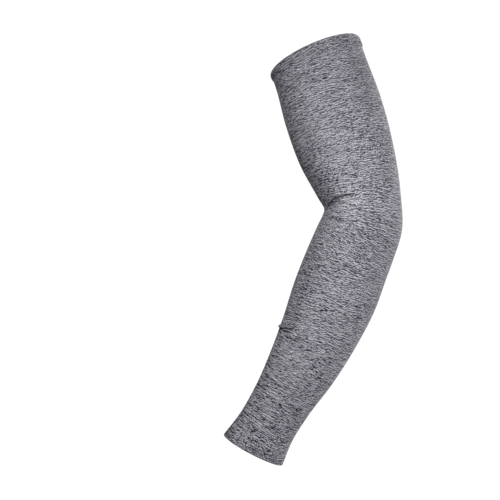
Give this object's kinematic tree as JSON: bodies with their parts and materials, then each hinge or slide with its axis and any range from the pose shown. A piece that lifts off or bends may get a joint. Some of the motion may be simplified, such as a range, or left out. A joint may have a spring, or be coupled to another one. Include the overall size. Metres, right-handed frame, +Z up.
{
  "type": "compression arm sleeve",
  "caption": "Heather grey knitted compression sleeve for an arm, from the upper arm over a slightly bent elbow to the wrist, open at both ends with a folded hem at each.",
  "frame": {"origin": "middle of the upper-arm opening, level with the top of its hem", "axes": "+Z up along the worn sleeve, +X out past the point of the elbow, +Y to the far side of the arm"},
  "size_m": [0.1663, 0.1065, 0.4025],
  "materials": {
    "knit": "matt heather grey jersey knit, light and dark yarns in short streaks round the arm",
    "upper_hem_knit": "the same knit, doubled and rounded at the fold",
    "wrist_hem_knit": "the same knit, turned in as a narrow flat hem"
  },
  "bodies": {
    "root": {"sleeve_tube": "knit", "upper_hem": "upper_hem_knit", "wrist_hem": "wrist_hem_knit"}
  },
  "joints": []
}
